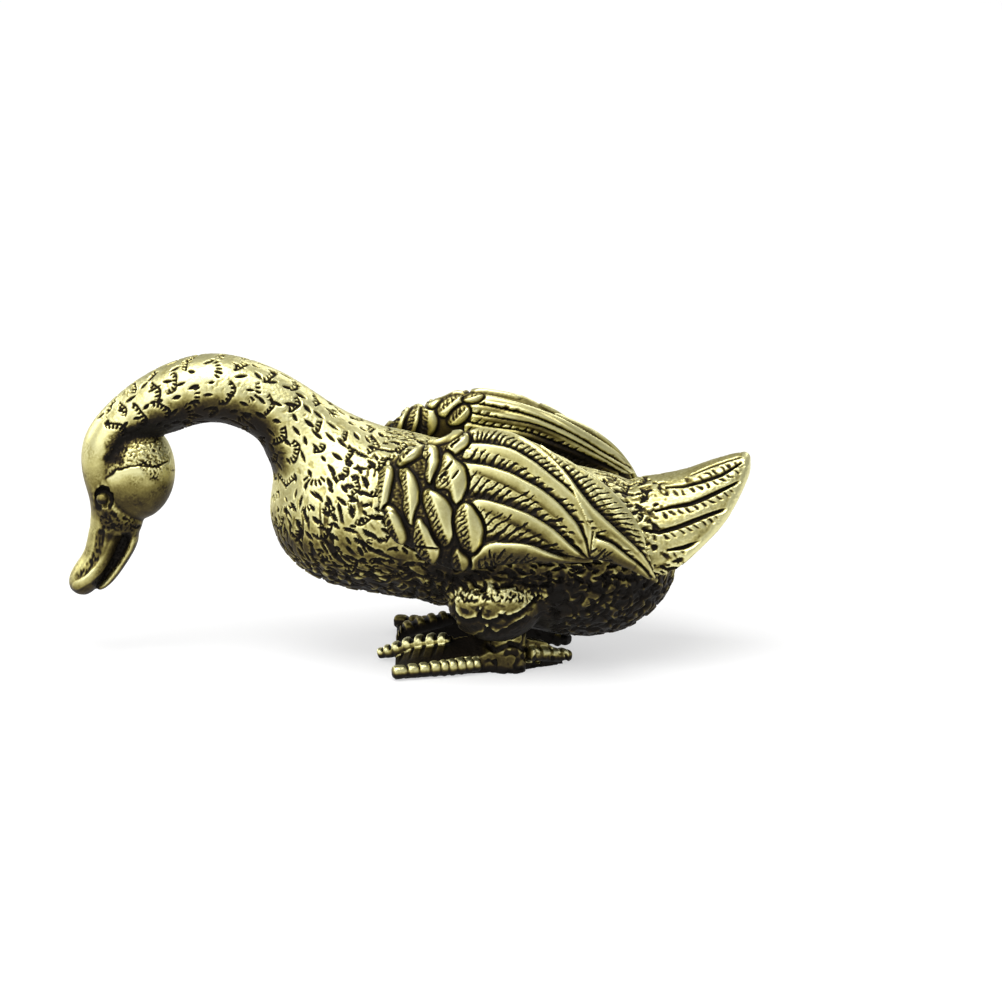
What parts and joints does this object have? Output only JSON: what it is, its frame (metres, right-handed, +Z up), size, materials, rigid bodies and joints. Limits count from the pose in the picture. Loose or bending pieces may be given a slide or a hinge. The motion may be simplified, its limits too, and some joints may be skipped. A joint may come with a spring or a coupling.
{
  "type": "duck figurine",
  "caption": "Small solid brass duck that stands on its feet with its neck arched over, its bill pointing down and its wings folded along its flanks.",
  "frame": {"origin": "centre of the overall box on the surface that the feet stand on", "axes": "+Z up, the duck looks along -X, its left side is -Y"},
  "size_m": [0.053, 0.0202, 0.0241],
  "materials": {
    "antique_brass": "cast, brushed bright on the high places, dark patina in the hollows"
  },
  "bodies": {
    "root": {"body": "antique_brass", "neck": "antique_brass", "head": "antique_brass", "upper_bill": "antique_brass", "lower_bill": "antique_brass", "tail": "antique_brass", "left_eye": "antique_brass", "left_wing": "antique_brass", "left_thigh": "antique_brass", "left_foot": "antique_brass", "left_outer_toe": "antique_brass", "left_inner_toe": "antique_brass", "left_hind_toe": "antique_brass", "right_eye": "antique_brass", "right_wing": "antique_brass", "right_thigh": "antique_brass", "right_foot": "antique_brass", "right_outer_toe": "antique_brass", "right_inner_toe": "antique_brass", "right_hind_toe": "antique_brass"}
  },
  "joints": []
}
